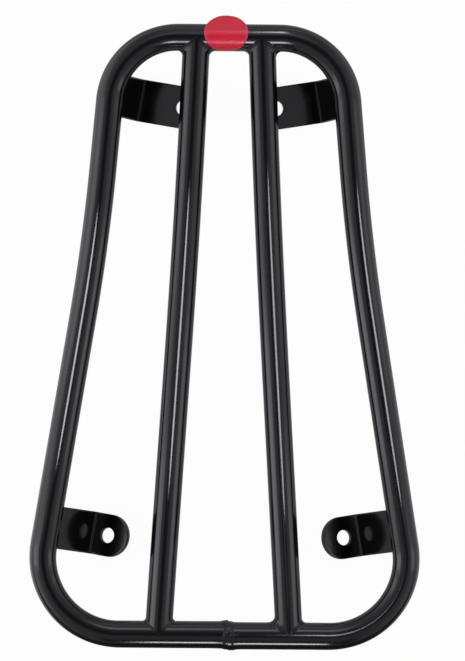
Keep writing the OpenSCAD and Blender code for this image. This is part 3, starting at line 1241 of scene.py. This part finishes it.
@dataclass
class Studio:
    """White sweep, surroundings and lamps.

    The surroundings, and the sweep's painted glow in gloss (painted shade under the rack and behind its rear
    end, painted brightness beside it), are each given as stops (place, radiance).
    """

    floor_half: float = 6.0
    floor_white: float = 0.82
    paper_glow: float = 0.965
    peak: float = 2.0
    sides: Stops = (
        (-1.0, 1.7), (-0.93, 1.75), (-0.82, 1.35), (-0.70, 0.90), (-0.55, 0.62), (-0.28, 0.52), (-0.16, 0.0),
        (0.24, 0.0), (0.36, 0.50), (0.60, 0.62), (0.78, 0.82), (0.90, 0.95), (1.0, 0.85),
    )
    slot: Stops = (
        (-1.0, 0.27), (-0.84, 0.13), (-0.70, 0.42), (-0.34, 0.48), (-0.14, 0.20), (0.0, 0.13), (0.20, 0.15),
        (0.44, 0.32), (0.56, 0.48), (0.79, 0.80), (0.93, 0.60), (1.0, 1.0),
    )
    # Painted glow of the sweep in gloss: painted shade under the rack and behind its rear end, painted
    # brightness to its left and right.
    painted_glow_half: float = 0.3
    painted_glow_x: Stops = ((-0.150, 1.45), (-0.105, 0.55), (0.105, 0.55), (0.150, 1.0))
    painted_glow_y: Stops = ((-0.21, 0.10), (-0.19, 0.80), (0.0, 1.0), (0.30, 1.0))

    def build(self) -> None:
        """Builds the floor, the surroundings and the lamps."""
        self._floor()
        self._world()
        for lamp in LAMPS:
            lamp.build()

    def _stops(self, tree: bpy.types.NodeTree, value: Socket, reach: float, stops: Stops) -> Socket:
        """Adds a curve through stops, as a map to 0..1 and a colour ramp of grey levels.

        Args:
            tree: Node tree.
            value: Place that is looked up.
            reach: The ramp runs from minus this place to plus this place.
            stops: Places and radiances, in order.

        Returns:
            The radiance, as a share of the peak.
        """
        fit = add_node(tree, "MapRange", {"Value": value, "From Min": -reach, "From Max": reach})
        ramp = add_node(tree, "ValToRGB", {"Fac": fit.outputs["Result"]})
        points = ramp.color_ramp.elements
        for place, _ in stops[2:]:
            points.new((place + reach) / (2 * reach))
        for point, (place, glow) in zip(points, stops):
            point.position = (place + reach) / (2 * reach)
            point.color = (glow / self.peak,) * 3 + (1,)
        return ramp.outputs["Color"]

    @staticmethod
    def _white_for_camera(tree: bpy.types.NodeTree, path: bpy.types.Node, value: Socket) -> Socket:
        """Replaces a brightness by 1, which is white, where the camera sees it directly."""
        mix = add_node(tree, "Mix", {"Factor": path.outputs["Is Camera Ray"], "A": value, "B": 1.0}, "FLOAT")
        return mix.outputs["Result"]

    def _floor(self) -> None:
        """Adds the floor: white paper that shows nearly full white to the camera, keeps the shadow, isn't
        seen from below, and glows in gloss with painted light: painted shade under the rack and behind its
        rear end, painted brightness beside it."""
        h = self.floor_half
        mesh = bpy.data.meshes.new("floor")
        mesh.from_pydata([(-h, -h, 0), (h, -h, 0), (h, h, 0), (-h, h, 0)], [], [(0, 1, 2, 3)])
        floor = add_object("floor", mesh)
        material, tree, paper = new_material("white_sweep")
        matt = {"Base Color": (self.floor_white,) * 3 + (1,), "Roughness": 0.9, "Specular IOR Level": 0.1}
        fill(tree, paper, matt)
        where = add_node(tree, "TexCoord").outputs["Object"]
        split = add_node(tree, "SeparateXYZ", {"Vector": where}).outputs
        # Painted light in gloss: painted shade under and behind the rack, painted brightness beside it.
        painted_side_glow = self._stops(tree, split["X"], self.painted_glow_half, self.painted_glow_x)
        ends = self._stops(tree, split["Y"], self.painted_glow_half, self.painted_glow_y)
        gloss = add_math(tree, "MULTIPLY", add_math(tree, "MULTIPLY", painted_side_glow, ends), self.peak * self.peak)
        path = add_node(tree, "LightPath")
        glow = add_node(tree, "Emission", {"Strength": self._white_for_camera(tree, path, gloss)})
        seen = add_math(tree, "MAXIMUM", path.outputs["Is Camera Ray"], path.outputs["Is Glossy Ray"])
        seen = add_math(tree, "MAXIMUM", seen, path.outputs["Is Transmission Ray"])
        share = add_math(tree, "MULTIPLY", seen, self.paper_glow)
        lit = {"Fac": share, 1: paper.outputs["BSDF"], 2: glow.outputs["Emission"]}
        front = add_node(tree, "MixShader", lit).outputs["Shader"]
        facing = add_node(tree, "NewGeometry").outputs["Backfacing"]
        clear = add_node(tree, "BsdfTransparent").outputs["BSDF"]
        both = add_node(tree, "MixShader", {"Fac": facing, 1: front, 2: clear})
        out = next(node for node in tree.nodes if node.type == "OUTPUT_MATERIAL")
        fill(tree, out, {"Surface": both.outputs["Shader"]})
        mesh.materials.append(material)

    def _world(self) -> None:
        """Makes the surroundings: bright panels to the left and right, a darker slot between them that runs
        from the rear to the front, and plain white for the camera."""
        world = bpy.data.worlds.new("studio")
        bpy.context.scene.world = world
        world.use_nodes = True
        tree = world.node_tree
        tree.nodes.clear()
        where = add_node(tree, "TexCoord").outputs["Generated"]
        split = add_node(tree, "SeparateXYZ", {"Vector": where}).outputs
        window = ((-0.28, 0.0), (-0.16, self.peak), (0.24, self.peak), (0.36, 0.0))
        panels = self._stops(tree, split["X"], 1.0, self.sides)
        middle = self._stops(tree, split["Y"], 1.0, self.slot)
        inside = self._stops(tree, split["X"], 1.0, window)
        total = add_math(tree, "ADD", panels, add_math(tree, "MULTIPLY", middle, inside))
        strength = add_math(tree, "MULTIPLY", total, self.peak)
        seen = self._white_for_camera(tree, add_node(tree, "LightPath"), strength)
        back = add_node(tree, "Background", {"Color": (1, 1, 1, 1), "Strength": seen})
        add_node(tree, "OutputWorld", {"Surface": back.outputs["Background"]})


@dataclass(frozen=True)
class Viewpoint:
    """Camera far above the rack, looking nearly straight down."""

    distance: float = 5.0
    scale: float = 1.7076
    yaw: float = 1.2
    pitch: float = 0.4
    roll: float = 0.54
    width: int = 465
    height: int = 661
    sensor: float = 36.0
    clip: tuple[float, float] = (0.05, 40.0)
    mark: Triple = (0.0, -0.17717, 0.03304)
    mark_pixel: tuple[float, float] = (223.7, 635.2)

    def build(self) -> None:
        """Adds the camera so that the mark falls on its pixel."""
        data = bpy.data.cameras.new("camera")
        data.sensor_width = self.sensor
        data.sensor_fit = "AUTO"
        focal_px = self.scale * 1000 * self.distance
        data.lens = focal_px / self.height * self.sensor
        camera = add_object("camera", data)
        yaw, pitch, roll = (math.radians(a) for a in (self.yaw, self.pitch, self.roll))
        back = Vector((math.sin(yaw) * math.cos(pitch), -math.sin(pitch), math.cos(yaw) * math.cos(pitch)))
        up = Vector((0, 1, 0)) - back * back.y
        up.normalize()
        right = up.cross(back)
        right_r = right * math.cos(roll) + up * math.sin(roll)
        up_r = up * math.cos(roll) - right * math.sin(roll)
        px = (self.mark_pixel[0] - self.width / 2) / focal_px * self.distance
        py = (self.height / 2 - self.mark_pixel[1]) / focal_px * self.distance
        place = Vector(self.mark) - right_r * px - up_r * py + back * self.distance
        turn = Matrix((right_r, up_r, back)).transposed().to_4x4()
        camera.matrix_world = Matrix.Translation(place) @ turn
        data.clip_start, data.clip_end = self.clip
        bpy.context.scene.camera = camera


@dataclass
class Rack:
    """The whole rack: builds every piece and puts it in the place of its CAD node."""

    size: RackSizes = field(default_factory=RackSizes)

    def build(self) -> None:
        """Builds and dresses the pieces in order."""
        groups = ShaderGroups()
        paint, bead_paint = PAINT.build(groups), BEAD_PAINT.build(groups)
        line = HoopLine(self.size)
        hoop = Hoop(self.size, line)
        settle(hoop.tube(), paint, "hoop")
        settle(hoop.closing_bead(), paint, "hoop_weld")
        for side in Side:
            tube = InnerTube(self.size, side)
            settle(tube.tube(), paint, f"inner_tube_{side.word}")
            for end in End:
                right, left = SADDLE_LEGS[(end, side)]
                bead = SaddleBead(tube, end, right, left, seed=1.7 * side.value + 0.9 * end.value)
                settle(bead.build(), bead_paint, f"joint_weld_{end.word}_{side.word}")
            for shape in (REAR_TAB, FRONT_TAB):
                tab = Tab(self.size, line, shape, side)
                settle(tab.plate(), paint, f"tab_{shape.end.word}_{side.word}")
                settle(tab.bead(), bead_paint, f"tab_weld_{shape.end.word}_{side.word}")
        badge = Badge(self.size)
        foil = FoilFinish().build(groups, badge.middle, self.size.badge_d / 2 * MM)
        settle(badge.build(), foil, "badge")


def main() -> None:
    """Builds the rack, the studio and the camera."""
    logging.basicConfig(level=logging.INFO, format="%(message)s")
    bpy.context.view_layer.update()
    Viewpoint().build()
    Studio().build()
    Rack().build()
    bpy.context.scene.view_settings.view_transform = "Standard"


if __name__ == "__main__":
    main()
